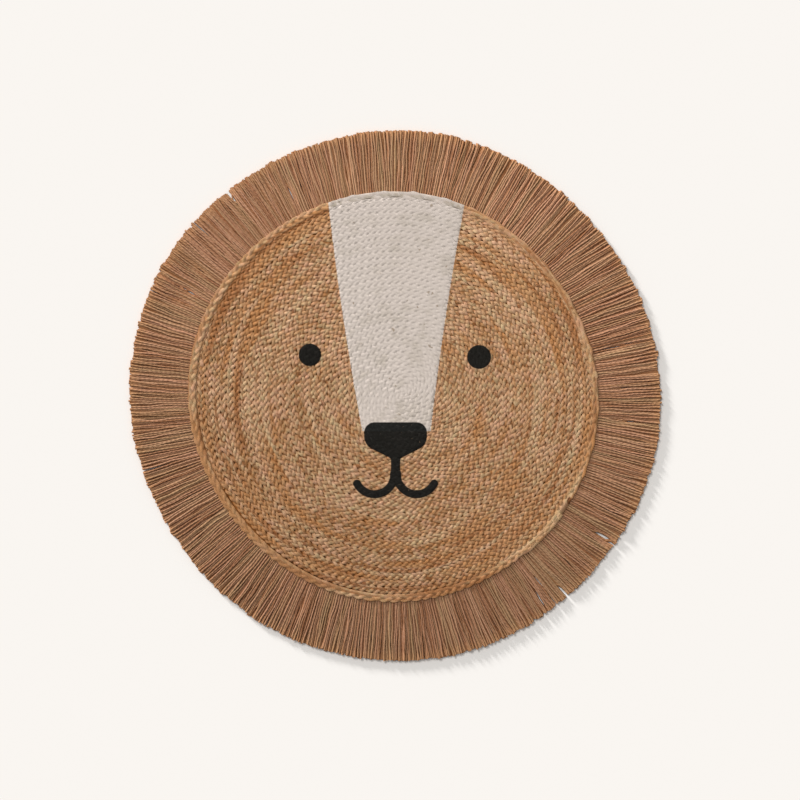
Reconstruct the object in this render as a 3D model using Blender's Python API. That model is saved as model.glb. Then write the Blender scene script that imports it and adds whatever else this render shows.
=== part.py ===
"""A round braided jute rug with an animal's face and a long fringe for its mane.

One long three-strand jute plait is coiled flat from the middle and sewn row to row. A plumper edge
plait runs round that coil and covers the heading of the fringe, whose locks lie flat on the floor.
The face is paint, so it has no shape here. Metres, +Z up; the origin is on the underside, in the
middle of the fringe's cut edge.
"""

import math
import random

import bmesh
import bpy

MM = 0.001
TURN = 2 * math.pi

# Driving dimensions
RUG_RADIUS = 500 * MM  # from the middle of the rug to the fringe's cut ends
DISC_RADIUS = 387 * MM  # to the outside of the edge plait
EDGE_PLAIT_WIDTH = 14 * MM
EDGE_PLAIT_HEIGHT = 8.5 * MM
PLAIT_WIDTH_FIRST = 11.4 * MM  # the plait's width at the middle of the coil
PLAIT_WIDTH_LAST = 12.7 * MM  # and at its outside
PLAIT_HEIGHT = 9 * MM  # underside to the crest of a row
SEAM_HEIGHT = 6.4 * MM  # underside to the seam between two rows
HEADING_HEIGHT = 2.5 * MM  # the fringe's woven heading, under the edge plait
HEADING_TUCK = 2 * MM  # how far the heading stops inside the edge plait's outer side
GAP = 0.3 * MM  # between neighbouring pieces

# Where the middles lie: the coil starts off centre, and the disc is sewn in a little off centre
COIL_START = (12.4 * MM, 5.6 * MM)
DISC_MIDDLE = (-3.6 * MM, -1.0 * MM)

# How far the hand-sewn disc is from a true circle, one row for each wave round it
OUT_OF_ROUND = (
    # waves, depth, turn in degrees
    (2, 3.1 * MM, 90),
    (4, 2.3 * MM, 40),
)

# The fringe
STATIONS = 60  # straight facets round the disc
LOCKS_PER_STATION = 5
LOCKS = STATIONS * LOCKS_PER_STATION
LOCK_STEP = TURN / LOCKS
LENGTH_SPREAD = 2.0 * MM  # how far a lock's cut end strays from the circle
LENGTH_SEED = 11
SWAY_GROWTH = 1.5  # the sway grows along a lock as this power of the way along it
LOCK_SECTIONS = (
    # along the lock, ridge height, half the gap to its neighbour
    (0.00, HEADING_HEIGHT, 0.30 * MM),
    (0.40, 4.6 * MM, 0.40 * MM),
    (1.00, 2.6 * MM, 0.75 * MM),
)
SWAY = (
    # waves round the rug, swing at the cut ends, turn in degrees
    (9, 3.0 * MM, 25),
    (23, 2.2 * MM, 120),
    (41, 1.3 * MM, 230),
)
PARTINGS = (
    # degrees round the rug, width where the locks part most, section where they do
    (12.6, 2.4 * MM, 1),
    (102.0, 2.2 * MM, 1),
    (117.0, 2.4 * MM, 1),
    (129.0, 3.2 * MM, 2),
    (147.0, 3.6 * MM, 1),
    (153.0, 3.6 * MM, 1),
    (246.0, 2.4 * MM, 1),
    (311.0, 2.2 * MM, 2),
    (326.0, 4.0 * MM, 2),
    (354.0, 2.6 * MM, 1),
)

SHARP_ANGLE = math.radians(35)  # edges sharper than this are shaded as edges

# Worked out from the above
COIL_RADIUS = DISC_RADIUS - EDGE_PLAIT_WIDTH - GAP
COIL_TURNS = COIL_RADIUS / ((PLAIT_WIDTH_FIRST + PLAIT_WIDTH_LAST) / 2)
HEADING_INNER = COIL_RADIUS + GAP
HEADING_OUTER = DISC_RADIUS - HEADING_TUCK


def clear_scene():
    for thing in list(bpy.data.objects):
        bpy.data.objects.remove(thing)


def linear(channel):
    """A colour channel from 0 to 255, as Blender's linear value."""
    value = channel / 255
    return value / 12.92 if value <= 0.04045 else ((value + 0.055) / 1.055) ** 2.4


def fibre_material(name, red, green, blue, roughness):
    material = bpy.data.materials.new(name)
    material.use_nodes = True
    shader = material.node_tree.nodes["Principled BSDF"]
    shader.inputs["Base Color"].default_value = (linear(red), linear(green), linear(blue), 1)
    shader.inputs["Roughness"].default_value = roughness
    shader.inputs["Metallic"].default_value = 0
    return material


def finish(name, bm, material):
    """The bmesh as an object of its own, its faces pointing out."""
    bmesh.ops.recalc_face_normals(bm, faces=bm.faces)
    if bm.calc_volume(signed=True) < 0:
        bmesh.ops.reverse_faces(bm, faces=bm.faces)
    mesh = bpy.data.meshes.new(name)
    bm.to_mesh(mesh)
    bm.free()
    mesh.materials.append(material)
    mesh.shade_smooth()
    mesh.set_sharp_from_angle(angle=SHARP_ANGLE)
    thing = bpy.data.objects.new(name, mesh)
    bpy.context.scene.collection.objects.link(thing)


def blend(first, second, share):
    return first + (second - first) * share


def middle_at(radius):
    """The middle of the row that lies this far out: it drifts from the coil's start to the rug's."""
    if radius < DISC_RADIUS:
        share = radius / DISC_RADIUS
        return [blend(a, b, share) for a, b in zip(COIL_START, DISC_MIDDLE)]
    share = (radius - DISC_RADIUS) / (RUG_RADIUS - DISC_RADIUS)
    return [blend(a, 0, share) for a in DISC_MIDDLE]


def rug_point(bm, angle, radius, height):
    """A vertex at this angle and radius, moved as the rug's own uneven round moves it."""
    spread = min(radius / DISC_RADIUS, 1)
    bulge = sum(d * math.cos(w * angle + math.radians(t)) for w, d, t in OUT_OF_ROUND)
    middle = middle_at(radius)
    reach = radius + spread * bulge
    across = middle[0] + reach * math.cos(angle)
    up = middle[1] + reach * math.sin(angle)
    return bm.verts.new((across, up, height))


def lace(bm, left, right):
    """Faces between two lines of (key, vertex), joined where their keys are level."""
    i = j = 0
    while i < len(left) - 1 or j < len(right) - 1:
        left_key = left[i + 1][0] if i < len(left) - 1 else math.inf
        right_key = right[j + 1][0] if j < len(right) - 1 else math.inf
        corners = [left[i][1], right[j][1]]
        if right_key <= left_key:
            j += 1
            corners.append(right[j][1])
        if left_key <= right_key:
            i += 1
            corners.append(left[i][1])
        distinct = list(dict.fromkeys(corners))
        if len(distinct) > 2:
            bm.faces.new(distinct)


def closed(ring):
    """A ring of (angle, vertex) that runs on to its own first vertex, a turn later."""
    return ring + [(ring[0][0] + TURN, ring[0][1])]


def coil_radius(turns):
    """How far from the coil's start the seam lies after this many turns of the plait."""
    growth = (PLAIT_WIDTH_LAST - PLAIT_WIDTH_FIRST) / (2 * COIL_TURNS)
    return PLAIT_WIDTH_FIRST * turns + growth * turns**2


def coil_column(bm, centre, station):
    """The (half row, vertex) pairs from the coil's start to its rim, along one spoke.

    Even half rows are seams and odd ones crests, and all of them move out by a row in a turn.
    """
    share = station / STATIONS
    column = [(-math.inf, centre)]
    half_row = 0
    while coil_radius(half_row / 2 + share) < COIL_RADIUS - PLAIT_WIDTH_LAST / 4:
        radius = coil_radius(half_row / 2 + share)
        height = PLAIT_HEIGHT if half_row % 2 else SEAM_HEIGHT
        if radius > 0:
            column.append((half_row, rug_point(bm, share * TURN, radius, height)))
        half_row += 1
    rim = rug_point(bm, share * TURN, COIL_RADIUS, SEAM_HEIGHT)
    return column + [(math.inf, rim)]


def coiled_braid(material):
    """The disc: the coiled plait, with a rib for each row on top and a flat underside."""
    bm = bmesh.new()
    centre = bm.verts.new((*COIL_START, SEAM_HEIGHT))
    columns = [coil_column(bm, centre, station) for station in range(STATIONS)]
    a_row_on = [(half_row - 2, vertex) for half_row, vertex in columns[0]]
    for left, right in zip(columns, columns[1:] + [a_row_on]):
        lace(bm, left, right)
    rim = [column[-1][1] for column in columns]
    foot = [rug_point(bm, s / STATIONS * TURN, COIL_RADIUS, 0) for s in range(STATIONS)]
    for station in range(STATIONS):
        after = (station + 1) % STATIONS
        bm.faces.new((rim[station], foot[station], foot[after], rim[after]))
    bm.faces.new(foot)
    finish("coiled_braid", bm, material)


def edge_plait(material):
    """The plump plait round the disc: a ring of oval section that lies on the fringe's heading."""
    bm = bmesh.new()
    sides = 8
    squareness = 0.7  # below 1 an oval grows flat sides
    middle = DISC_RADIUS - EDGE_PLAIT_WIDTH / 2
    base = HEADING_HEIGHT + GAP
    rings = []
    for side in range(sides):
        turn = TURN * (side + 0.5) / sides
        across = math.copysign(abs(math.cos(turn)) ** squareness, math.cos(turn))
        up = math.copysign(abs(math.sin(turn)) ** squareness, math.sin(turn))
        widest = math.cos(TURN / sides / 2) ** squareness
        radius = middle + EDGE_PLAIT_WIDTH / 2 * across / widest
        height = base + EDGE_PLAIT_HEIGHT / 2 * (1 + up / widest)
        rings.append([rug_point(bm, s / STATIONS * TURN, radius, height) for s in range(STATIONS)])
    for ring, after in zip(rings, rings[1:] + rings[:1]):
        for s in range(STATIONS):
            t = (s + 1) % STATIONS
            bm.faces.new((ring[s], ring[t], after[t], after[s]))
    finish("edge_plait", bm, material)


def sway(angle):
    """How far to one side the fringe's cut ends swing here, in metres."""
    return sum(swing * math.sin(w * angle + math.radians(t)) for w, swing, t in SWAY)


def parting(boundary, section):
    """Half the width of the gap that shows at this boundary between two locks, if one does."""
    for degrees, width, widest in PARTINGS:
        if round(math.radians(degrees) / LOCK_STEP) == boundary % LOCKS and widest == section:
            return width / 2
    return 0


def lock_side(bm, boundary, side, section, reach):
    """A bottom corner of a lock: side is 1 just after a boundary between two locks, -1 before."""
    along, _, half_gap = LOCK_SECTIONS[section]
    radius = blend(HEADING_OUTER, reach, along)
    swing = sway(boundary * LOCK_STEP) * along**SWAY_GROWTH
    shift = swing + side * (half_gap + parting(boundary, section))
    return rug_point(bm, boundary * LOCK_STEP + shift / radius, radius, 0)


def lock_ridge(bm, lock, section, reach):
    along, height, _ = LOCK_SECTIONS[section]
    radius = blend(HEADING_OUTER, reach, along)
    angle = (lock + 0.5) * LOCK_STEP
    swing = sway(angle) * along**SWAY_GROWTH
    return rug_point(bm, angle + swing / radius, radius, height)


def fringe_lock(bm, lock, reach):
    """A three-sided lock that lies on the floor. Returns its root's left, right and ridge."""
    rows = []
    for section in range(len(LOCK_SECTIONS)):
        left = lock_side(bm, lock, 1, section, reach)
        right = lock_side(bm, lock + 1, -1, section, reach)
        rows.append((left, right, lock_ridge(bm, lock, section, reach)))
    for near, far in zip(rows, rows[1:]):
        for a, b in ((0, 1), (1, 2), (2, 0)):
            bm.faces.new((near[a], near[b], far[b], far[a]))
    bm.faces.new(rows[-1])
    return rows[0]


def fringe(material):
    """The fringe: a flat heading under the edge plait, with the roots of all its locks."""
    bm = bmesh.new()
    chance = random.Random(LENGTH_SEED)
    roots = []
    for lock in range(LOCKS):
        reach = RUG_RADIUS + chance.uniform(-LENGTH_SPREAD, LENGTH_SPREAD)
        roots.append(fringe_lock(bm, lock, reach))
    spokes = [s / STATIONS * TURN for s in range(STATIONS)]
    inner_top = [(angle, rug_point(bm, angle, HEADING_INNER, HEADING_HEIGHT)) for angle in spokes]
    inner_foot = [(angle, rug_point(bm, angle, HEADING_INNER, 0)) for angle in spokes]
    outer_top = [((lock + 0.5) * LOCK_STEP, ridge) for lock, (_, _, ridge) in enumerate(roots)]
    outer_foot = []
    for lock, (left, right, _) in enumerate(roots):
        outer_foot += [(lock * LOCK_STEP, left), ((lock + 1) * LOCK_STEP, right)]
    lace(bm, closed(inner_top), closed(outer_top))
    lace(bm, closed(inner_foot), closed(outer_foot))
    lace(bm, closed(inner_foot), closed(inner_top))
    for before, after in zip(roots, roots[1:] + roots[:1]):
        bm.faces.new((before[1], after[0], after[2], before[2]))
    finish("fringe", bm, material)


clear_scene()
coiled_braid(fibre_material("natural jute", 168, 128, 93, 0.85))
edge_plait(fibre_material("edge jute", 162, 120, 84, 0.85))
fringe(fibre_material("brown cotton yarn", 143, 104, 78, 0.9))
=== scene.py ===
"""Looks of a round rug: a coil of plaited jute with a plain animal's face painted on it, a
smoother edge plait and a long fringe of twisted yarn. Lengths are metres unless they say so."""

import math
from types import SimpleNamespace

import bpy
import numpy as np
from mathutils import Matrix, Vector


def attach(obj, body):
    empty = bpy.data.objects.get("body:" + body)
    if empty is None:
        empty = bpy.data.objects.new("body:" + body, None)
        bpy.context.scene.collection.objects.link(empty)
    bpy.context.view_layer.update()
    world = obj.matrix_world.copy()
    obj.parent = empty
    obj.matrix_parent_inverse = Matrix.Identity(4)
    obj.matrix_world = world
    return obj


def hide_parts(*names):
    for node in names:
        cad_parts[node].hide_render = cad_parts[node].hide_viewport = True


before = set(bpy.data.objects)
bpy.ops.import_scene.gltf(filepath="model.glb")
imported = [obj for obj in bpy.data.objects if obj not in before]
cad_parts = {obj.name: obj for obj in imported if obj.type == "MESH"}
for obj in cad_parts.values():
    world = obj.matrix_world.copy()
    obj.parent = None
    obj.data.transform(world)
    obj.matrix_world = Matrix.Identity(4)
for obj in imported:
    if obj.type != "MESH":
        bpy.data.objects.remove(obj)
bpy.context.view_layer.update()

MM = 0.001

# The rug's main sizes, as in its solids.
RUG_RADIUS = 500 * MM
DISC_RADIUS = 387 * MM
EDGE_PLAIT_WIDTH = 14 * MM
PLAIT_WIDTH_FIRST = 11.4 * MM
PLAIT_WIDTH_LAST = 12.7 * MM
GAP = 0.3 * MM
COIL_START = (12.4 * MM, 5.6 * MM)
DISC_MIDDLE = (-3.6 * MM, -1.0 * MM)
OUT_OF_ROUND = (  # waves round the rug, depth, turn in degrees
    (2, 3.1 * MM, 90),
    (4, 2.3 * MM, 40),
)
COIL_RADIUS = DISC_RADIUS - EDGE_PLAIT_WIDTH - GAP
COIL_TURNS = COIL_RADIUS / ((PLAIT_WIDTH_FIRST + PLAIT_WIDTH_LAST) / 2)
COIL_GROWTH = (PLAIT_WIDTH_LAST - PLAIT_WIDTH_FIRST) / (2 * COIL_TURNS)
HEADING_INNER = COIL_RADIUS + GAP
HEADING_OUTER = 385 * MM
HEADING_HEIGHT = 2.5 * MM
RING_STEPS = 240  # points round the heading and the edge plait's ground
RING_RADIUS = 0.38  # about the middle of both
RING_ROUND = 150  # way round that a metre across them counts as, as they have no strands

# The plaits: three strands each.
STRANDS = 3
STRAND_SIDES = 6
UNDERSIDE = 100  # degrees of a strand's way round that are flat
SHARP_BEND = 60  # degrees between two faces of a strand past which the light shows an edge
COIL_PERIOD = 40.0 * MM  # length of plait in which a strand goes from side to side and back
COIL_STEPS = 16  # points of a strand in such a length
EDGE_STEPS = 24  # the same for the edge plait, in its own period
CREST = 8.8 * MM  # the height towards which the plaits' tops are pressed level
PRESSED = 0.59  # how much of the way they are pressed
PRESSED_UNDER_PAINT = 0.905
CORE_SIDES, CORE_RINGS = 192, 64  # how finely the ground under the coil is divided

# How often each unevenness of a plait changes in a metre of it.
DRIFT_WAVES = 3.0  # where its lobes come
HURRY_WAVES = 26.0  # how far one strand's lobes are out of step
LOBE_WAVES = 85.0  # the size and the place of a single lobe
ROW_WAVES = 2.6  # where the whole row lies

# The edge plait, in turns round the rug where no unit is given.
EDGE_FROM = 329 / 360
EDGE_TO = 685 / 360
EDGE_DRAWN_IN = 1.5 * MM  # how far inside the middle of its band it is sewn
EDGE_POINTED_START = 0.006
EDGE_LOOSE_TAIL = 18 / 360  # the strands' last stretch, unplaited and side by side
EDGE_LOOSENS_OVER = 0.012
EDGE_TAIL_OUT = 2 * MM
EDGE_SMOOTH_MIDDLE = 40  # degrees; round here the edge plait is pulled nearly straight
EDGE_SMOOTHNESS = 0.5  # 0 leaves it plaited, 1 pulls it quite straight
TAIL_MIDDLE = -44  # degrees
TAIL_REACH = (8, 10)  # degrees either way from there between which its colour fades
KNOT = (328 * MM, -198 * MM, 5 * MM, 8 * MM)  # across, up, half width, half height

# The fringe's lie, as in its solids.
SWAY = (  # waves round the rug, swing at the cut ends, turn in degrees
    (9, 3.0 * MM, 25),
    (23, 2.2 * MM, 120),
    (41, 1.3 * MM, 230),
)
SWAY_GROWTH = 1.5  # power of the share of its length with which a yarn sways more
PARTINGS = (  # degrees, width, share of the yarn's length at which it is widest
    (12.6, 1.6 * MM, 0.45),
    (102, 1.8 * MM, 0.45),
    (117, 1.8 * MM, 0.45),
    (129.4, 4.2 * MM, 1.0),
    (147, 2.2 * MM, 0.45),
    (153, 2.2 * MM, 0.45),
    (156, 1.6 * MM, 0.50),
    (246, 1.4 * MM, 0.45),
    (311, 1.4 * MM, 0.85),
    (326, 3.4 * MM, 0.80),
    (354, 1.8 * MM, 0.45),
)
YARN_REACH = 497.8 * MM
TRIM = (  # waves round the rug of its hand-cut ends, depth, degrees from a wave's peak
    (1, 0.7 * MM, 113),
    (2, 0.8 * MM, 60),
    (3, 0.6 * MM, 111),
    (5, 0.8 * MM, 23),
    (7, 0.7 * MM, 227),
)
YARN_LOWEST = 2.3 * MM
YARN_SIDES = 5
YARN_STEPS = 12
PARTING_REACH = 9 * MM  # how far to each side of a parting its yarns make way
PARTING_LENGTH = 0.22  # the same along them, as a share of their length

# The painted face: sizes as a painter would mark them out on the disc.
EYES = (  # across, up, radius
    (-161.0 * MM, 77.5 * MM, 21.3 * MM),
    (157.6 * MM, 73.5 * MM, 22.6 * MM),
)
BLAZE_FOOT = -66 * MM
BLAZE_FOOT_HALF = 64.4 * MM
BLAZE_TAPER = 0.1495  # half width gained for each length upwards
BLAZE_BOW = 4 * MM  # how much further left its middle lies than its ends
BLAZE_LENGTH = 426 * MM
NOSE_HALF = 39.3 * MM
NOSE_TOP = -69.5 * MM
NOSE_POINT = -92.5 * MM
NOSE_ROUND = 20 * MM  # radius of its upper corners
NOSE_FULLER = 6.5 * MM  # how much larger the radius of its sides and its point is
STEM_ACROSS = 0.4 * MM
STEM_HALF = 8.8 * MM
STEM_FOOT = -150 * MM
STEM_FILLET = 5 * MM
MOUTH_ACROSS = 39.6 * MM
MOUTH_UP = -147.8 * MM
MOUTH_RADIUS = 37.2 * MM
MOUTH_HALF = 7.7 * MM
MOUTH_FROM, MOUTH_TO = 180, 332.5  # degrees round each arc, from the stem to its outer end
MOUTH_FILLET = 7 * MM
PAINT_EDGE = 1.6 * MM  # width over which paint gives way to bare fibre
PAINT_RAGGED = 3 * MM  # how far its edge strays among the fibres

# The colours of the jute and its paint.
STRAW = (0.56, 0.355, 0.205, 1)
STRAW_SHADE = (0.27, 0.118, 0.040, 1)
EDGE_STRAW = (0.54, 0.33, 0.182, 1)
EDGE_SHADE = (0.29, 0.134, 0.05, 1)
DARK_FIBRE = (0.17, 0.055, 0.017, 1)
# painted shade: the colour of the fibre low down between the strands
PAINTED_SHADE_FIBRE = (0.22, 0.066, 0.008, 1)
RUST_FIBRE = (0.27, 0.105, 0.037, 1)
ORANGE_FIBRE = (0.38, 0.175, 0.067, 1)
OLIVE_FIBRE = (0.43, 0.33, 0.18, 1)
PINK_FIBRE = (0.50, 0.272, 0.17, 1)
STROKE_FIBRE = (0.68, 0.47, 0.29, 1)
BLAZE_COLOUR = (0.54, 0.472, 0.42, 1)
BLAZE_SHADE = (0.36, 0.315, 0.255, 1)
# painted highlight, with thicker paint, on the edge plait's outer ridge under the blaze
BLAZE_RIDGE_HIGHLIGHT = (0.66, 0.575, 0.51, 1)
SPECK_COLOUR = (0.20, 0.14, 0.085, 1)
NOSE_COLOUR = (0.0055, 0.0062, 0.0058, 1)
NOSE_SHEEN = (0.026, 0.026, 0.024, 1)

# How fine the patterns of the jute and its paint are: changes in a metre, or in a radian of a
# strand's way round for those that say ROUND.
ROWS, WARM_ROWS, RUST_ROWS = 46.0, 34.0, 72.0
PATCHES, BLOTCHES, SPECKS, FRAYS = 9.0, 42.0, 80.0, 260.0
STREAKS, STREAKS_ROUND = 150.0, 7.0
HANKS, HANKS_ROUND = 45.0, 1.7
HAIRS, HAIRS_ROUND = 300.0, 14.0
COIL_TWIST, EDGE_TWIST = 60.0, 30.0  # radians that the fibres turn in a metre
COIL_DARK, EDGE_DARK = 0.67, 0.74  # how high the noise is where a lobe is dark
JUTE_LIGHT_FALLOFF = (0.28, 0.04)  # painted light: how much paler it is a metre further up, and further right

# The colours of the yarns, and how fine their patterns are.
YARN_PALE = (0.505, 0.274, 0.169, 1)
YARN_DEEP = (0.222, 0.09, 0.037, 1)
YARN_OLIVE = (0.36, 0.228, 0.12, 1)
YARN_END = (0.48, 0.25, 0.115, 1)
# painted shade: the yarns' colour low down in the fringe, under the upper layers
YARN_PAINTED_SHADE = (0.27, 0.088, 0.022, 1)
# painted light: how much paler the yarns are a metre further up, and further right
YARN_LIGHT_FALLOFF = (0.32, 0.0)
YARN_PLY_LENGTH = 9 * MM
YARN_FUZZ, YARN_MOTTLE, YARN_PATCHES = 900.0, 150.0, 13.0
YARN_BUNDLES = 21.0  # changes round the rug, in a radian

# The floor, the lights and the photograph's view from straight above.
FLOOR_COLOUR = (0.82, 0.79, 0.755, 1)
FLOOR_RADIUS = 6
KEY_LIGHT = (125, 50, 1.6, 20)  # heading, elevation, strength, width
LOW_SIDE_LIGHT = (131, 12.5, 4.69, 8)
SURROUND_STRENGTH = 0.45
PHOTO_SIDE = 800
PHOTO_MM = 1.885  # millimetres of rug to a pixel of the photograph
RUG_MIDDLE_PIXEL = (395.4, 396.0)
LENS, SENSOR = 85, 36
PICTURE_PLANE = 5 * MM  # the height on the rug at which that scale holds


class Wire:
    """A socket of a node tree. Sums written with wires add their Math nodes to the tree."""

    def __init__(self, tree, socket=None):
        self.tree = tree
        self.socket = socket

    def node(self, kind, *values, output=0, **settings):
        """A new node: its settings first, then a value or link for each socket in turn."""
        made = self.tree.nodes.new(kind)
        for name, setting in settings.items():
            setattr(made, name, setting)
        for socket, value in zip([s for s in made.inputs if s.enabled], values):
            if isinstance(value, Wire):
                self.tree.links.new(value.socket, socket)
            elif value is not None:
                socket.default_value = value
        if isinstance(output, str):
            return Wire(self.tree, made.outputs[output])
        return Wire(self.tree, [s for s in made.outputs if s.enabled][output])

    def output(self, name):
        return Wire(self.tree, self.socket.node.outputs[name])

    def maths(self, operation, *values):
        return self.node("ShaderNodeMath", self, *values, operation=operation)

    def __add__(self, other):
        return self.maths("ADD", other)

    def __sub__(self, other):
        return self.maths("SUBTRACT", other)

    def __rsub__(self, other):
        return self.node("ShaderNodeMath", other, self, operation="SUBTRACT")

    def __mul__(self, other):
        return self.maths("MULTIPLY", other)

    def __truediv__(self, other):
        return self.maths("DIVIDE", other)

    def __pow__(self, other):
        return self.maths("POWER", other)

    __radd__ = __add__
    __rmul__ = __mul__

    def sine(self):
        return self.maths("SINE")

    def cosine(self):
        return self.maths("COSINE")

    def size(self):
        return self.maths("ABSOLUTE")

    def least(self, other):
        return self.maths("MINIMUM", other)

    def most(self, other):
        return self.maths("MAXIMUM", other)

    def melt(self, other, reach):
        """The lesser of two distances, with a soft fillet of that reach where they meet."""
        return self.maths("SMOOTH_MIN", other, reach)

    def step(self, low, high, start=0.0, end=1.0):
        """Runs smoothly from start to end as this value goes from low to high."""
        kind = "ShaderNodeMapRange"
        return self.node(kind, self, low, high, start, end, interpolation_type="SMOOTHSTEP")

    def vector(self, x=0.0, y=0.0, z=0.0):
        return self.node("ShaderNodeCombineXYZ", x, y, z)

    def parts(self):
        split = self.node("ShaderNodeSeparateXYZ", self)
        return split, split.output("Y"), split.output("Z")

    def scaled(self, factor):
        """This vector or colour times a value."""
        return self.node("ShaderNodeVectorMath", self, factor, operation="SCALE")

    def mixed(self, other, factor):
        """This colour with that share of another one over it."""
        return self.node("ShaderNodeMix", factor, self, other, data_type="RGBA")

    def between(self, first, last):
        """The colour that lies this far from the first one to the last."""
        return self.node("ShaderNodeMix", self, first, last, data_type="RGBA")

    def noise(self, scale, detail=2.0, roughness=0.5, ways="3D"):
        """Noise about 0.5 at this place, or along this value where ways is 1D."""
        kind = "ShaderNodeTexNoise"
        return self.node(kind, self, scale, detail, roughness, noise_dimensions=ways)


def length_of(across, up):
    return (across * across + up * up) ** 0.5


# ---- Where things lie on the rug ----


def rug_place(angle, radius, height):
    """The place on the real rug, with its out of round, of a place on a true circle."""
    inside = (radius / DISC_RADIUS).least(1.0)
    outside = ((radius - DISC_RADIUS) / (RUG_RADIUS - DISC_RADIUS)).most(0.0)
    bulge = sum(
        depth * (waves * angle + math.radians(turn)).cosine()
        for waves, depth, turn in OUT_OF_ROUND
    )
    reach = radius + inside * bulge
    across, up = (
        start + (middle - start) * inside - middle * outside
        for start, middle in zip(COIL_START, DISC_MIDDLE)
    )
    return angle.vector(across + reach * angle.cosine(), up + reach * angle.sine(), height)


def coil_radius(turns):
    return PLAIT_WIDTH_FIRST * turns + COIL_GROWTH * turns * turns


def segment_distance(across, up, start, end):
    """How far a place is from the straight line between two points."""
    run = (end[0] - start[0], end[1] - start[1])
    square = run[0] ** 2 + run[1] ** 2
    from_start = (across - start[0], up - start[1])
    share = (from_start[0] * run[0] + from_start[1] * run[1]) / square
    share = share.most(0.0).least(1.0)
    return length_of(from_start[0] - share * run[0], from_start[1] - share * run[1])


def blaze_distance(across, up):
    """How far a place is outside the pale blaze; less than zero inside it."""
    above = (up - BLAZE_FOOT) / BLAZE_LENGTH
    bow = BLAZE_BOW * (4 * above * (1 - above)) - BLAZE_BOW / 2
    half = BLAZE_FOOT_HALF + BLAZE_TAPER * BLAZE_LENGTH * above
    return ((across + bow).size() - half).most(BLAZE_FOOT - up)


def nose_distance(across, up):
    """Nose, stem and mouth in one: how far a place is outside them."""
    side = (across - STEM_ACROSS).size()
    bar = segment_distance(side, up, (0, NOSE_TOP), (NOSE_HALF, NOSE_TOP))
    shoulder = (NOSE_HALF - NOSE_FULLER, NOSE_TOP - NOSE_FULLER)
    slope = segment_distance(side, up, shoulder, (0, NOSE_POINT)) - NOSE_FULLER
    nose = bar.least(slope) - NOSE_ROUND
    stem = segment_distance(side, up, (0, NOSE_POINT), (0, STEM_FOOT)) - STEM_HALF
    lean = math.radians((MOUTH_FROM + MOUTH_TO) / 2)
    reach = math.radians((MOUTH_TO - MOUTH_FROM) / 2)
    from_middle = (side - MOUTH_ACROSS, up - MOUTH_UP)
    along = from_middle[0] * math.cos(lean) + from_middle[1] * math.sin(lean)
    beside = (from_middle[1] * math.cos(lean) - from_middle[0] * math.sin(lean)).size()
    end = (MOUTH_RADIUS * math.cos(reach), MOUTH_RADIUS * math.sin(reach))
    beyond = (beside * math.cos(reach)).maths("GREATER_THAN", along * math.sin(reach))
    on_arc = (length_of(along, beside) - MOUTH_RADIUS).size()
    past_end = length_of(along - end[0], beside - end[1])
    mouth = on_arc + beyond * (past_end - on_arc) - MOUTH_HALF
    return nose.melt(stem, STEM_FILLET).melt(mouth, MOUTH_FILLET)


def eye_distance(across, up):
    """How far a place is outside both eyes."""
    found = [length_of(across - x, up - y) - radius for x, y, radius in EYES]
    return found[0].least(found[1])


def paint_distance(across, up):
    """How far a place is outside all the paint."""
    return blaze_distance(across, up).least(nose_distance(across, up)).least(eye_distance(across, up))


# ---- Shapes that follow a path ----


def shape_tree(name, inputs):
    """A new shape tree, and wires that read its named inputs."""
    tree = bpy.data.node_groups.new(name, "GeometryNodeTree")
    tree.interface.new_socket("Shape", in_out="OUTPUT", socket_type="NodeSocketGeometry")
    for label, value in inputs.items():
        kind = "NodeSocketInt" if isinstance(value, int) else "NodeSocketFloat"
        tree.interface.new_socket(label, in_out="INPUT", socket_type=kind).default_value = value
    entry = tree.nodes.new("NodeGroupInput")
    return tree, {socket.name: Wire(tree, socket) for socket in entry.outputs if socket.name}


def close_tree(shape, material):
    """Ends a shape tree: its copies made real, in this material."""
    real = shape.node("GeometryNodeRealizeInstances", shape)
    dressed = shape.node("GeometryNodeSetMaterial", real, None, material)
    leave = shape.tree.nodes.new("NodeGroupOutput")
    shape.tree.links.new(dressed.socket, leave.inputs[0])


def stored(shape, name, value, kind="FLOAT"):
    """The shape with a value kept on its points for its material to read."""
    return shape.node("GeometryNodeStoreNamedAttribute", shape, None, name, value, data_type=kind)


def tube(path, sides, underside, half_width, half_height, thickness):
    """A closed tube of oval section round a path, flat over the underside's degrees of its way
    round. Its points keep their way round as "round"."""
    start, sweep = math.radians(underside / 2 - 90), math.radians(360 - underside)
    ring = path.node("GeometryNodeCurveArc", sides, 1.0, start, sweep)
    ring = path.node("GeometryNodeSetSplineCyclic", ring, None, True)
    ring = stored(ring, "round", path.node("GeometryNodeInputPosition"), "FLOAT_VECTOR")
    size = path.vector(half_width, half_height, 1.0)
    oval = path.node("GeometryNodeTransform", ring, None, None, size)
    level = path.node("GeometryNodeSetCurveNormal", path, mode="Z_UP")
    return path.node("GeometryNodeCurveToMesh", level, oval, thickness, True)


def grow(name, tree, sizes):
    """The plain mesh piece that a shape tree gives with these sizes."""
    piece = bpy.data.objects.new(name, bpy.data.meshes.new(name))
    bpy.context.scene.collection.objects.link(piece)
    growth = piece.modifiers.new("growth", "NODES")
    growth.node_group = tree
    for item in tree.interface.items_tree:
        if item.in_out == "INPUT" and item.name in sizes:
            growth[item.identifier] = sizes[item.name]
    graph = bpy.context.evaluated_depsgraph_get()
    mesh = bpy.data.meshes.new_from_object(piece.evaluated_get(graph))
    piece.modifiers.remove(growth)
    piece.data = mesh
    mesh.name = name
    mesh.shade_smooth()
    return piece


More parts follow.
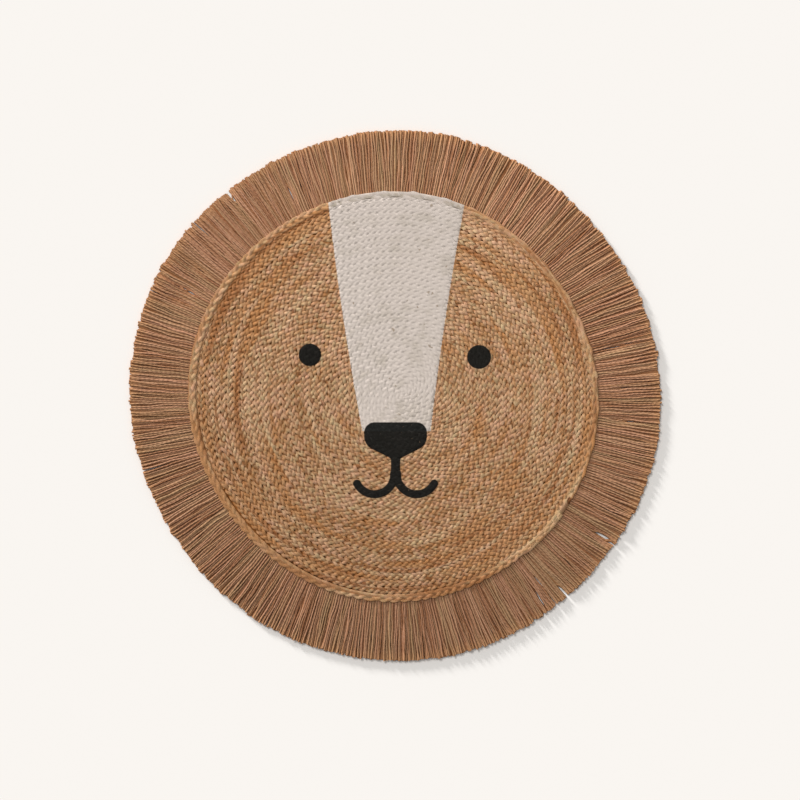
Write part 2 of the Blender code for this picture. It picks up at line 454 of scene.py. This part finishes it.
def coil_path(read, share):
    """Angle, radius of the plait's middle, length along it, share of its full width, and how far
    its strands lie loose side by side."""
    first = read["First turn"] + 0.5
    last = read["Last turn"] + 0.5
    turns = (share * (last * last - first * first) + first * first) ** 0.5
    inner = coil_radius((turns - 0.5).most(0.0))
    outer = coil_radius(turns + 0.5).least(COIL_RADIUS)
    pitch = PLAIT_WIDTH_FIRST + 2 * COIL_GROWTH * turns
    along = 2 * math.pi * (PLAIT_WIDTH_FIRST / 2 * turns * turns + COIL_GROWTH / 3 * turns ** 3)
    width = ((outer - inner) / pitch).least(1.0)
    return 2 * math.pi * (turns - 0.5), (inner + outer) / 2, along, width, 0.0


def ring_path(read, share):
    """The same for the edge plait, whose last strands lie unplaited beside its start."""
    turns = read["First turn"] + share * (read["Last turn"] - read["First turn"])
    angle = 2 * math.pi * turns
    radius = (HEADING_INNER + DISC_RADIUS) / 2 - EDGE_DRAWN_IN
    loosens = read["Last turn"] - EDGE_LOOSE_TAIL
    tail = turns.step(loosens, loosens + EDGE_LOOSENS_OVER)
    from_smooth = (angle - math.radians(EDGE_SMOOTH_MIDDLE)).cosine()
    loose = tail.most(from_smooth.step(0.2, 0.6, 0.0, EDGE_SMOOTHNESS))
    width = turns.step(read["First turn"], read["First turn"] + EDGE_POINTED_START, 0.5, 1.0)
    return angle, radius + tail * EDGE_TAIL_OUT, turns * (2 * math.pi * radius), width, loose


def strand_tree(name, path, material):
    """One strand of a three-strand plait that runs along a path round the rug."""
    tree, read = shape_tree(name, {
        "Strand": 0,
        "Points": 100,
        "First turn": 0.0,
        "Last turn": 1.0,
        "Period": COIL_PERIOD,
        "Swing": 5.0 * MM,
        "Fold lift": 32.0,  # degrees; the more, the sooner after a fold a strand lies highest
        "Fold sharpness": 0.995,  # 1 folds a strand sharply at the plait's sides, near 0 bends it round
        "Shingle": 24.0,  # degrees that a lobe leans, its fore side over the next one's start
        "Half width": 3.2 * MM,
        "Half height": 1.9 * MM,
        "Swell": 0.05,
        "Taper": 0.28,  # how much narrower a strand is at its folds
        "Middle height": 4.7 * MM,
        "Rise": 2.1 * MM,
        "Wander": 6.0,  # radians of the period over which its lobes come sooner or later
        "Hurry": 1.3,  # the same for each strand by itself
        "Unevenness": 0.8,
        "Astray": 1.8 * MM,
        "Height play": 1.0 * MM,
        "Row play": 1.1 * MM,
        "Loose spacing": 3.6 * MM,
    })
    net = Wire(tree)
    number = read["Strand"]
    line = net.node("GeometryNodeCurvePrimitiveLine")
    line = net.node("GeometryNodeResampleCurve", line, None, read["Points"], mode="COUNT")
    share = net.node("GeometryNodeInputIndex") / (read["Points"] - 1)
    angle, radius, along, width, loose = path(read, share)
    own = along + number * 50.0
    drift = ((along * DRIFT_WAVES).noise(1.0, 3.0, ways="1D") - 0.5) * read["Wander"]
    hurry = ((own * HURRY_WAVES).noise(1.0, 2.0, ways="1D") - 0.5) * read["Hurry"]
    uneven = (own * LOBE_WAVES).noise(1.0, 1.0, ways="1D") - 0.5
    astray = (own * LOBE_WAVES + 40.0).noise(1.0, 1.0, ways="1D") - 0.5
    row = ((along * ROW_WAVES).noise(1.0, 3.0, ways="1D") - 0.5) * 2 * read["Row play"]
    phase = along * (2 * math.pi) / read["Period"] + number * (2 * math.pi / STRANDS) + drift + hurry
    top = 0 - (phase * 2 + read["Fold lift"] * (math.pi / 180)).sine()
    sharpness = read["Fold sharpness"]
    wave = (phase.sine() * sharpness).maths("ARCSINE") / sharpness.maths("ARCSINE")
    plaited = 1 - loose
    beside = (read["Swing"] * wave * plaited + astray * read["Astray"]) * width + row
    beside = beside + loose * (number - (STRANDS - 1) / 2) * read["Loose spacing"]
    height = read["Middle height"] + read["Rise"] * top * width * plaited
    height = height + uneven * read["Height play"] + row * 0.5
    place = rug_place(angle, radius + beside, height)
    line = net.node("GeometryNodeSetPosition", line, None, place)
    line = stored(line, "along", own)
    line = stored(line, "across", beside)
    lean = wave * plaited * (read["Shingle"] * (-math.pi / 180))
    line = net.node("GeometryNodeSetCurveTilt", line, None, lean)
    lumps = 1 + uneven * read["Unevenness"] + top * read["Swell"]
    lumps = lumps - wave.size() ** 3 * read["Taper"] * plaited
    strand = tube(line, STRAND_SIDES, UNDERSIDE, read["Half width"], read["Half height"], width * lumps)
    x, y, z = net.node("GeometryNodeInputPosition").parts()
    pressed = paint_distance(x, y).step(-2 * MM, 1 * MM, PRESSED_UNDER_PAINT, PRESSED)
    levelled = net.vector(0.0, 0.0, pressed * (CREST - z))
    strand = net.node("GeometryNodeSetPosition", strand, None, None, levelled)
    close_tree(strand, material)
    return tree


def yarn_tree(name, material):
    """The yarns of one layer of the fringe, fanned out round the rug."""
    tree, read = shape_tree(name, {
        "Yarns": 100,
        "Layer": 0,
        "Half width": 1.6 * MM,
        "Half height": 1.4 * MM,
        "Root radius": 382 * MM,
        "Root height": 3.0 * MM,
        "Middle height": 2.6 * MM,
        "Tip height": YARN_LOWEST,
        "Height play": 0.4 * MM,
        "Length play": 1.3 * MM,
        "Uneven cut": 5.0 * MM,
        "Nibbled cut": 14.0 * MM,
        "Clump": 5.0 * MM,
        "Group": 4.5 * MM,
        "Stray": 3.0 * MM,
        "Curl": 2.6 * MM,
        "Thickness play": 0.15,
    })
    net = Wire(tree)
    row = net.node("GeometryNodePoints", read["Yarns"])
    bar = net.node("GeometryNodeCurvePrimitiveLine")
    bar = net.node("GeometryNodeResampleCurve", bar, None, YARN_STEPS + 1, mode="COUNT")
    yarns = net.node("GeometryNodeInstanceOnPoints", row, None, bar)
    yarns = net.node("GeometryNodeRealizeInstances", yarns)
    index = net.node("GeometryNodeInputIndex")
    number = net.node("GeometryNodeFieldOnDomain", index, domain="CURVE", data_type="INT")
    share = net.node("GeometryNodeSplineParameter")

    def chance(seed):
        kind = "FunctionNodeRandomValue"
        return net.node(kind, -1.0, 1.0, number, read["Layer"] * 10 + seed, data_type="FLOAT")

    # How far each yarn lies beside its even place.
    angle = (number + 0.5 + chance(1) * 0.3) / read["Yarns"] * (2 * math.pi)
    sway = sum(swing * (waves * angle + math.radians(turn)).sine() for waves, swing, turn in SWAY)
    circle = angle.vector(angle.cosine(), angle.sine(), read["Layer"] * 0.35)
    clump = (circle.noise(17.0, 2.0, 0.6) - 0.5) * 2 * read["Clump"]
    group_place = angle.vector(angle.cosine() * 48, angle.sine() * 48, read["Layer"] * 5 + share * 1.6)
    group = (group_place.noise(1.0, 1.0) - 0.5) * 2 * read["Group"]
    curl_place = angle.vector(number * 3.7, share * 3.6, read["Layer"] * 9.0)
    curl = (curl_place.noise(1.0, 2.0) - 0.5) * 2 * read["Curl"]
    beside = (sway + clump + chance(2) * read["Stray"]) * share ** SWAY_GROWTH
    beside = beside + (group + curl) * (share * 4).least(1.0)
    thin = 0.0
    for degrees, width, widest in PARTINGS:
        from_middle = (angle - math.radians(degrees)) * (RUG_RADIUS * 0.9) + beside
        squares = (from_middle / PARTING_REACH) ** 2 + ((share - widest) / PARTING_LENGTH) ** 2
        opened = (0 - squares).maths("EXPONENT")
        beside = beside + from_middle.maths("SIGN") * opened * width
        thin = opened + thin

    # How far it reaches, and how high it lies.
    outline = angle.vector(angle.cosine(), angle.sine(), 0.0)
    trim = sum(depth * (waves * angle - math.radians(peak)).cosine() for waves, depth, peak in TRIM)
    uneven_cut = (outline.noise(9.0, 2.0) - 0.5) * read["Uneven cut"]
    nibbled_cut = (outline.noise(60.0, 2.0) - 0.5) * read["Nibbled cut"]
    reach = YARN_REACH + trim + (uneven_cut + nibbled_cut) + chance(3) * read["Length play"]
    radius = read["Root radius"] + share * (reach - read["Root radius"])
    settled = share.step(0.0, 0.12)
    height = read["Root height"] + settled * (read["Middle height"] - read["Root height"])
    height = height + share.step(0.5, 1.0) * (read["Tip height"] - read["Middle height"])
    height = height + chance(4) * read["Height play"] * settled
    height = height + thin.least(1.0) * 0.8 * (YARN_LOWEST - height)
    place = rug_place(angle + beside / radius, radius, height)
    yarns = net.node("GeometryNodeSetPosition", yarns, None, place)
    yarns = stored(yarns, "along", share * (RUG_RADIUS - read["Root radius"]) + number * 1.0)
    thickness = (1 + chance(5) * read["Thickness play"]) * share.step(0.8, 1.0, 1.0, 1.15)
    flat_side = 360 / YARN_SIDES
    strands = tube(yarns, YARN_SIDES, flat_side, read["Half width"], read["Half height"], thickness)
    close_tree(strands, material)
    return tree


def core_tree(name, material):
    """The closed ground of the coil under its strands, higher where paint fills the gaps."""
    tree, read = shape_tree(name, {
        "Radius": COIL_RADIUS,
        "Bottom": 0.6 * MM,
        "Top": 6.0 * MM,
        "Filled top": 8.45 * MM,
    })
    net = Wire(tree)
    kind = "GeometryNodeMeshCylinder"
    drum = net.node(kind, CORE_SIDES, 1, CORE_RINGS, 1.0, 1.0, fill_type="TRIANGLE_FAN")
    x, y, z = net.node("GeometryNodeInputPosition").parts()
    radius = length_of(x, y)
    angle = y.maths("ARCTAN2", x)
    flat = rug_place(angle, radius * read["Radius"], 0.0)
    across, up, level = flat.parts()
    filled = paint_distance(across, up).step(-3 * MM, 1 * MM, 1.0, 0.0)
    pits = flat.noise(38.0, 2.0).step(0.42, 0.6, 2.5 * MM, 0.0)
    top = read["Top"] - pits
    top = top + filled * (read["Filled top"] - top)
    height = z.step(-0.01, 0.01)
    place = net.vector(across, up, read["Bottom"] + height * (top - read["Bottom"]))
    core = net.node("GeometryNodeSetPosition", drum, None, place)
    core = stored(core, "along", angle * radius * 0.1)
    core = stored(core, "round", net.vector(1.0, 0.0, 0.0), "FLOAT_VECTOR")
    close_tree(core, material)
    return tree


def ring_tree(name, material):
    """A flat closed ring round the rug."""
    tree, read = shape_tree(name, {"Inner": 0.37, "Outer": 0.38, "Bottom": 0.0, "Top": 0.002})
    net = Wire(tree)
    ring = net.node("GeometryNodeCurvePrimitiveCircle", RING_STEPS, 1.0)
    width, height = read["Outer"] - read["Inner"], read["Top"] - read["Bottom"]
    strip = net.node("GeometryNodeCurvePrimitiveQuadrilateral", width, height)
    band = net.node("GeometryNodeCurveToMesh", ring, strip)
    x, y, z = net.node("GeometryNodeInputPosition").parts()
    angle = y.maths("ARCTAN2", x)
    beside = length_of(x, y) - 1
    radius = (read["Inner"] + read["Outer"]) / 2 + beside
    place = rug_place(angle, radius, z + (read["Bottom"] + read["Top"]) / 2)
    band = net.node("GeometryNodeSetPosition", band, None, place)
    band = stored(band, "along", angle * RING_RADIUS)
    band = stored(band, "across", beside)
    band = stored(band, "round", net.vector(beside * RING_ROUND, 0.0, 0.0), "FLOAT_VECTOR")
    close_tree(band, material)
    return tree


# ---- Finishes ----


def finish(name, roughness, specular):
    """A new material, a wire to write its nodes with, and its shader."""
    material = bpy.data.materials.new(name)
    material.use_nodes = True
    shader = material.node_tree.nodes["Principled BSDF"]
    shader.inputs["Roughness"].default_value = roughness
    shader.inputs["Specular IOR Level"].default_value = specular
    return material, Wire(material.node_tree), shader


def feed(shader, name, wire):
    wire.tree.links.new(wire.socket, shader.inputs[name])


def fibre_place(net, twist):
    """A place on a strand: its length, and the way round it, which turns with the fibres."""
    along = net.node("ShaderNodeAttribute", attribute_name="along", output="Fac")
    side, top, _ = net.node("ShaderNodeAttribute", attribute_name="round", output="Vector").parts()
    turn = along * twist
    across = side * turn.cosine() - top * turn.sine()
    up = side * turn.sine() + top * turn.cosine()
    return along, across, up


def painted(distance, ragged):
    """1 where paint lies, from how far a place is outside its outline."""
    return (distance + ragged).step(-PAINT_EDGE / 2, PAINT_EDGE / 2, 1.0, 0.0)


def painted_light_falloff(x, y, upwards, rightwards):
    """Painted light that falls off across the rug: the fibres are a little paler on one side of it; how
    much so for each metre.
    """
    return 1 + y * upwards + x * rightwards


def row_place(at, waves, per_metre, start=0.0):
    """A place for noise that runs with the coil's rows: slow round the rug, quick across them."""
    across = at.angle.cosine() * waves + start
    return at.net.vector(across, at.angle.sine() * waves, at.radius * per_metre)


def by_lobe(at, per_metre, start=0.0):
    """Noise that gives each lobe of a strand a value of its own."""
    return (at.along * per_metre + start).noise(1.0, 2.0, ways="1D")


def jute_places(net, twist):
    """The places and patterns on the jute that its fibres and its paint share."""
    along, across, up = fibre_place(net, twist)
    place = net.node("ShaderNodeTexCoord", output="Object")
    x, y, z = place.parts()
    at = SimpleNamespace(net=net, along=along, across=across, up=up, place=place, x=x, y=y, z=z)
    at.angle = y.maths("ARCTAN2", x)
    at.radius = length_of(x, y)
    at.beside = net.node("ShaderNodeAttribute", attribute_name="across", output="Fac")
    at.rows = row_place(at, 1.2, ROWS).noise(1.0, 4.0, 0.65)
    at.patch = place.noise(PATCHES, 2.0)
    at.blotch = place.noise(BLOTCHES, 2.0)
    streak_place = net.vector(along * STREAKS, across * STREAKS_ROUND, up * STREAKS_ROUND)
    at.streak = streak_place.noise(1.0, 3.0, 0.7)
    at.hank = net.vector(along * HANKS, across * HANKS_ROUND, up * HANKS_ROUND).noise(1.0, 2.0)
    return at


def fibre_colour(at, straw, shade, dark_share):
    """Natural jute, its rows, hanks and single lobes all of slightly different colours, with painted
    shade low down between the strands.
    """
    tone = (at.rows - 0.5) * 2.2 + (at.patch - 0.5) * 0.6 + (at.blotch - 0.5) * 0.8
    tone = tone + (by_lobe(at, 70.0) - 0.5) * 0.7 + (at.streak - 0.5) + (at.hank - 0.5) + 0.5
    warm_rows = row_place(at, 1.1, WARM_ROWS, 9).noise(1.0, 3.0, 0.6) + (at.radius - 0.25) * 0.5
    rust_rows = row_place(at, 1.6, RUST_ROWS, 4).noise(1.0, 3.0, 0.6) + (at.radius - 0.31)
    olive = by_lobe(at, 61.0, 30.0).step(0.46, 0.6) * 0.4 + at.rows.step(0.5, 0.65) * 0.35
    pink = by_lobe(at, 43.0, 90.0).step(0.48, 0.62) * 0.4 + at.blotch.step(0.5, 0.62) * 0.35
    warm = by_lobe(at, 5.0).step(0.5, 0.72) * 0.4 + warm_rows.step(0.52, 0.63) * 0.7
    dark = by_lobe(at, 50.0).step(dark_share, dark_share + 0.05) * at.hank.step(0.35, 0.6)
    fibre = tone.between(shade, straw)
    for colour, share in (
        (OLIVE_FIBRE, olive),
        (PINK_FIBRE, pink),
        (ORANGE_FIBRE, warm),
        (RUST_FIBRE, rust_rows.step(0.57, 0.64) * 0.7),
        (STROKE_FIBRE, at.streak.step(0.56, 0.7) * 0.5),
        (DARK_FIBRE, dark * 0.85),
        # painted shade, darker and redder the lower the fibre lies between the strands
        (PAINTED_SHADE_FIBRE, at.z.step(6.0 * MM, 8.2 * MM, 0.85, 0.0)),
    ):
        fibre = fibre.mixed(colour, share)
    return fibre


def edge_marks(at, fibre):
    """The fibre with the edge plait's own marks: a warm stretch, a pale tail and a dark knot."""
    warm = (at.x + at.y).step(-0.54, -0.42, 0.35, 0.0)
    from_tail = (at.angle - math.radians(TAIL_MIDDLE)).size()
    tail = from_tail.step(math.radians(TAIL_REACH[0]), math.radians(TAIL_REACH[1]), 0.08, 0.0)
    knot = length_of((at.x - KNOT[0]) / KNOT[2], (at.y - KNOT[1]) / KNOT[3]).step(0.7, 1.2, 0.85, 0.0)
    return fibre.mixed(ORANGE_FIBRE, warm).mixed(OLIVE_FIBRE, tail).mixed(DARK_FIBRE, knot)


def chalk_colour(at, at_edge):
    """The blaze's pale paint: thin on the streaks, mottled and specked, with painted shade and thinner
    paint in the hollows, and on the edge plait painted shade in its valley and a painted highlight on
    its outer ridge.
    """
    # painted shade, and thinner paint, in the hollows between the strands
    hollow_shade_and_thin_paint = at.z.step(8.0 * MM, 8.3 * MM, 1.0, 0.0)
    thin = at.streak.step(0.5, 0.85) * 0.25 + hollow_shade_and_thin_paint * at.patch.step(0.3, 0.7, 0.1, 0.6)
    if at_edge:
        # painted shade, and thinner paint, along the edge plait's valley
        thin = thin + (at.beside + 1.0 * MM).size().step(0.6 * MM, 2.2 * MM, 0.8, 0.0)
    thin = thin + (at.rows - 0.5) * 1.2 + (at.patch - 0.5) * 1.2 + (at.blotch - 0.5) * 1.4
    chalk = thin.between(BLAZE_COLOUR, BLAZE_SHADE)
    if at_edge:
        # painted highlight, with thicker paint, on the edge plait's outer ridge
        chalk = chalk.mixed(BLAZE_RIDGE_HIGHLIGHT, at.beside.step(3.2 * MM, 5.2 * MM))
    return chalk.mixed(SPECK_COLOUR, at.place.noise(SPECKS, 2.0).step(0.7, 0.74) * 0.6)


def jute(name, straw, shade, twist, dark_share, at_edge=False):
    """Natural jute with the face painted on its top."""
    material, net, shader = finish(name, 0.85, 0.05)
    at = jute_places(net, twist)
    colour = fibre_colour(at, straw, shade, dark_share)
    if at_edge:
        colour = edge_marks(at, colour)
    # painted light falling off across the rug: paler towards its top and its right
    colour = colour.scaled(painted_light_falloff(at.x, at.y, *JUTE_LIGHT_FALLOFF))
    ragged = (at.place.noise(FRAYS, 2.0) - 0.5) * PAINT_RAGGED
    faces_up = net.node("ShaderNodeNewGeometry", output="Normal").parts()[2].step(-0.2, 0.1)
    on_top = faces_up * at.z.step(3.4 * MM, 4.2 * MM)
    blaze = painted(blaze_distance(at.x, at.y), ragged) * on_top
    if at_edge:
        blaze = blaze * (1 - at.streak.step(0.5, 0.72) * 0.4)
    dark = painted(nose_distance(at.x, at.y).least(eye_distance(at.x, at.y)), ragged * 0.4) * on_top
    black = at.streak.step(0.45, 0.8).between(NOSE_COLOUR, NOSE_SHEEN)
    colour = colour.mixed(chalk_colour(at, at_edge), blaze * 0.97).mixed(black, dark * 0.99)
    feed(shader, "Base Color", colour)
    feed(shader, "Roughness", 0.87 - at.streak * 0.1)
    hairs = net.vector(at.along * HAIRS, at.across * HAIRS_ROUND, at.up * HAIRS_ROUND).noise(1.0, 2.0)
    relief = (at.streak + (1 - blaze) * hairs) * (1 - (blaze + dark) * 0.5)
    feed(shader, "Normal", net.node("ShaderNodeBump", 0.7, 0.5 * MM, None, relief))
    return material


def yarn_finish(name):
    """Two-ply cotton yarn: its plies show as slanting ridges, and no two yarns match."""
    material, net, shader = finish(name, 0.9, 0.0)
    along, side, top = fibre_place(net, 0.0)
    place = net.node("ShaderNodeTexCoord", output="Object")
    x, y, z = place.parts()
    radius = length_of(x, y)
    number = along.maths("ROUND")
    own = number.node("ShaderNodeTexWhiteNoise", number, noise_dimensions="1D", output="Color")
    light, warm, _ = own.parts()
    turn = along * (2 * math.pi / YARN_PLY_LENGTH)
    ply = turn.cosine() * (side * side - top * top) - turn.sine() * (2 * side * top)
    fuzz = net.vector(along * YARN_FUZZ, side * 3, top * 3).noise(1.0, 2.0)
    mottle = net.vector(along * YARN_MOTTLE, side, top).noise(1.0, 2.0)
    patch = place.noise(YARN_PATCHES, 3.0)
    bundle_place = net.vector(x / radius * YARN_BUNDLES, y / radius * YARN_BUNDLES, radius * 4.0)
    bundle = bundle_place.noise(1.0, 3.0, 0.6)
    tone = light * 0.55 + patch * 0.3 + ply * 0.12 + fuzz * 0.25 + (mottle - 0.5) * 0.8 - 0.1
    colour = tone.between(YARN_DEEP, YARN_PALE)
    colour = colour.mixed(YARN_OLIVE, bundle.step(0.44, 0.64) * 0.4 + warm.step(0.4, 1.0) * 0.4)
    colour = colour.mixed(YARN_END, radius.step(475 * MM, 500 * MM) * 0.5)
    # painted shade, deeper the lower a yarn lies under the upper layers
    colour = colour.mixed(YARN_PAINTED_SHADE, z.step(2.0 * MM, 5.2 * MM, 0.65, 0.0))
    # painted light falling off across the rug: paler towards its top
    feed(shader, "Base Color", colour.scaled(painted_light_falloff(x, y, *YARN_LIGHT_FALLOFF)))
    feed(shader, "Normal", net.node("ShaderNodeBump", 0.8, 0.5 * MM, None, ply * 0.5 + fuzz * 0.5))
    return material


def floor_finish():
    """A plain pale floor."""
    material, net, shader = finish("pale floor", 0.9, 0.0)
    shader.inputs["Base Color"].default_value = FLOOR_COLOUR
    return material


# ---- Maps for colours that are laid on a flat picture ----


def own_map(mesh, places):
    """Gives the mesh a map of its own with this place for each corner."""
    layer = mesh.uv_layers.new(name="OFBake", do_init=False)
    layer.uv.foreach_set("vector", places.astype(np.float32).ravel())


def corners_of(mesh):
    """Per corner: its point and its face. Per face: how many corners it has."""
    point = np.empty(len(mesh.loops), np.int32)
    mesh.loops.foreach_get("vertex_index", point)
    count = np.empty(len(mesh.polygons), np.int32)
    mesh.polygons.foreach_get("loop_total", count)
    return point, np.repeat(np.arange(len(count)), count), count


def map_from_above(mesh):
    """Faces that look up are mapped as seen from above, the rest small in a corner of the map."""
    point, face, _ = corners_of(mesh)
    places = np.empty(len(mesh.vertices) * 3, np.float32)
    mesh.vertices.foreach_get("co", places)
    flat = places.reshape(-1, 3)[point, :2]
    normals = np.empty(len(mesh.polygons) * 3, np.float32)
    mesh.polygons.foreach_get("normal", normals)
    upward = normals.reshape(-1, 3)[face, 2] > -0.05
    low, wide = flat.min(0), np.ptp(flat, axis=0).max()
    seen = 0.004 + 0.992 * (flat - low) / wide
    tucked = 0.001 + 0.13 * (flat - low) / wide
    own_map(mesh, np.where(upward[:, None], seen, tucked))


def map_in_cells(mesh, sides, steps, across, down):
    """Each yarn is mapped unrolled, in a cell of its own."""
    point, face, count = corners_of(mesh)
    per_yarn = sides * (steps + 1)
    yarn, ring, side = point // per_yarn, point % per_yarn // sides, (point % sides).astype(float)
    last = (side == sides - 1) & (count[face] == 4)
    wraps = np.zeros(len(count), bool)
    wraps[face[last]] = True
    starts = np.zeros(len(count), bool)
    starts[face[side == 0]] = True
    side[(side == 0) & (wraps & starts)[face]] = sides
    ends = count[face] > 4
    around = np.where(ends, sides * (0.5 + 0.2 * np.cos(2 * np.pi * side / sides)), side)
    lengthwise = ring / steps + np.where(ends, 0.004 * np.sin(2 * np.pi * side / sides), 0)
    column, line = yarn % across, yarn // across
    u = (column + 0.08 + 0.84 * around / sides) / across
    v = (line + 0.01 + 0.98 * lengthwise.clip(0, 1)) / down
    own_map(mesh, np.stack([u, v], 1))


# ---- The pieces ----


def lay(piece, slot, *nodes):
    """The piece rides on the rug and stands for these nodes, which it hides. The slot is not used."""
    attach(piece, "root")
    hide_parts(*nodes)
    return piece


COIL = {
    "First turn": -0.3,
    "Last turn": COIL_TURNS - 0.35,
}
EDGE = {
    "First turn": EDGE_FROM,
    "Last turn": EDGE_TO,
    "Period": 58 * MM,
    "Swing": 5.2 * MM,
    "Half width": 3.5 * MM,
    "Taper": 0.24,
    "Middle height": 5.9 * MM,
    "Rise": 1.1 * MM,
    "Unevenness": 0.6,
    "Row play": 0.4 * MM,
}
EDGE_GROUND = {
    "Inner": HEADING_INNER - 2 * MM,
    "Outer": DISC_RADIUS - 2.5 * MM,
    "Bottom": 2.8 * MM,
    "Top": 7.7 * MM,
}
HEADING = {
    "Inner": HEADING_INNER,
    "Outer": HEADING_OUTER,
    "Bottom": 0.0,
    "Top": HEADING_HEIGHT,
}
YARN_LAYERS = {
    "fringe_yarns_lower": {
        "Yarns": 900,
        "Layer": 1,
        "Half width": 2.8 * MM,
        "Half height": 1.4 * MM,
        "Stray": 1.0 * MM,
    },
    "fringe_yarns_middle": {
        "Yarns": 780,
        "Layer": 2,
        "Root height": 4.2 * MM,
        "Middle height": 4.4 * MM,
        "Tip height": 4.6 * MM,
    },
    "fringe_yarns_upper": {
        "Yarns": 540,
        "Layer": 3,
        "Root height": 5.4 * MM,
        "Middle height": 5.5 * MM,
        "Tip height": 6.1 * MM,
    },
}
MAP_ROWS_OF_YARNS = 4


def coil_and_edge():
    """The coil's ground, and the strands of both plaits with the edge plait's ground."""
    coil_jute = jute("jute with the painted face", STRAW, STRAW_SHADE, COIL_TWIST, COIL_DARK)
    edge_jute = jute("edge plait jute", EDGE_STRAW, EDGE_SHADE, EDGE_TWIST, EDGE_DARK, at_edge=True)
    core = grow("coil_ground", core_tree("coil ground", coil_jute), {})
    edge_ground = grow("edge_ground", ring_tree("edge ground", edge_jute), EDGE_GROUND)
    coil_tree = strand_tree("coil strand", coil_path, coil_jute)
    edge_tree = strand_tree("edge strand", ring_path, edge_jute)
    coil_points = int(coil_length() / COIL_PERIOD * COIL_STEPS)
    edge_points = int(2 * math.pi * DISC_RADIUS / EDGE["Period"] * EDGE_STEPS)
    strands, edges = [], []
    for number in range(STRANDS):
        coil_sizes = COIL | {"Strand": number, "Points": coil_points}
        edge_sizes = EDGE | {"Strand": number, "Points": edge_points}
        strand = grow(f"plait_strand_{number + 1}", coil_tree, coil_sizes)
        edge = grow(f"edge_strand_{number + 1}", edge_tree, edge_sizes)
        for mesh in (strand.data, edge.data):
            mesh.set_sharp_from_angle(angle=math.radians(SHARP_BEND))
            map_from_above(mesh)
        strands.append(lay(strand, "jute_plait", "coiled_braid"))
        edges.append(lay(edge, "edge_jute_plait", "edge_plait"))
    map_from_above(core.data)
    lay(core, "jute_plait", "coiled_braid")
    edges.append(lay(edge_ground, "edge_jute_plait", "edge_plait"))
    return core, strands + edges


def coil_length():
    """The length of plait in the coil."""
    turns = COIL["Last turn"] + 0.5
    return 2 * math.pi * (PLAIT_WIDTH_FIRST / 2 * turns**2 + COIL_GROWTH / 3 * turns**3)


def fringe():
    """The heading and three layers of yarns."""
    cotton = yarn_finish("twisted cotton yarn")
    made = [grow("fringe_heading", ring_tree("fringe heading", cotton), HEADING)]
    tree = yarn_tree("fringe yarns", cotton)
    for name, sizes in YARN_LAYERS.items():
        yarns = grow(name, tree, sizes)
        per_row = math.ceil(sizes["Yarns"] / MAP_ROWS_OF_YARNS)
        map_in_cells(yarns.data, YARN_SIDES, YARN_STEPS, per_row, MAP_ROWS_OF_YARNS)
        made.append(yarns)
    for piece in made:
        lay(piece, "yarn_fringe", "fringe")
    return made


# ---- Floor, light and camera ----


def sun(name, heading, elevation, strength, width):
    """A far lamp; heading is the compass way that its light comes from, in degrees from +X."""
    lamp = bpy.data.lights.new(name, "SUN")
    lamp.energy, lamp.angle = strength, math.radians(width)
    holder = bpy.data.objects.new(name, lamp)
    bpy.context.scene.collection.objects.link(holder)
    turn, up = math.radians(heading), math.radians(elevation)
    way = Vector((math.cos(turn) * math.cos(up), math.sin(turn) * math.cos(up), math.sin(up)))
    holder.rotation_euler = way.to_track_quat("Z", "Y").to_euler()


def studio():
    """A pale floor, soft light from the upper left, and a camera straight above."""
    bpy.ops.mesh.primitive_circle_add(
        vertices=96, radius=FLOOR_RADIUS, fill_type="NGON", location=(0, 0, -GAP)
    )
    floor = bpy.context.object
    floor.name = "floor"
    floor.data.materials.append(floor_finish())
    sun("key", *KEY_LIGHT)
    sun("low side light", *LOW_SIDE_LIGHT)
    world = bpy.data.worlds.new("soft surround")
    world.use_nodes = True
    world.node_tree.nodes["Background"].inputs["Color"].default_value = (1, 1, 1, 1)
    world.node_tree.nodes["Background"].inputs["Strength"].default_value = SURROUND_STRENGTH
    bpy.context.scene.world = world
    camera = bpy.data.cameras.new("camera")
    camera.lens, camera.sensor_width = LENS, SENSOR
    camera.clip_end = 30
    holder = bpy.data.objects.new("camera", camera)
    bpy.context.scene.collection.objects.link(holder)
    view_width = PHOTO_SIDE * PHOTO_MM * MM
    across = (PHOTO_SIDE / 2 - RUG_MIDDLE_PIXEL[0]) * PHOTO_MM * MM
    up = (RUG_MIDDLE_PIXEL[1] - PHOTO_SIDE / 2) * PHOTO_MM * MM
    holder.location = (across, up, view_width * LENS / SENSOR + PICTURE_PLANE)
    bpy.context.scene.camera = holder
    bpy.context.scene.view_settings.view_transform = "Standard"


core, plait_strands = coil_and_edge()
fringe_pieces = fringe()
plait_strands + fringe_pieces
studio()
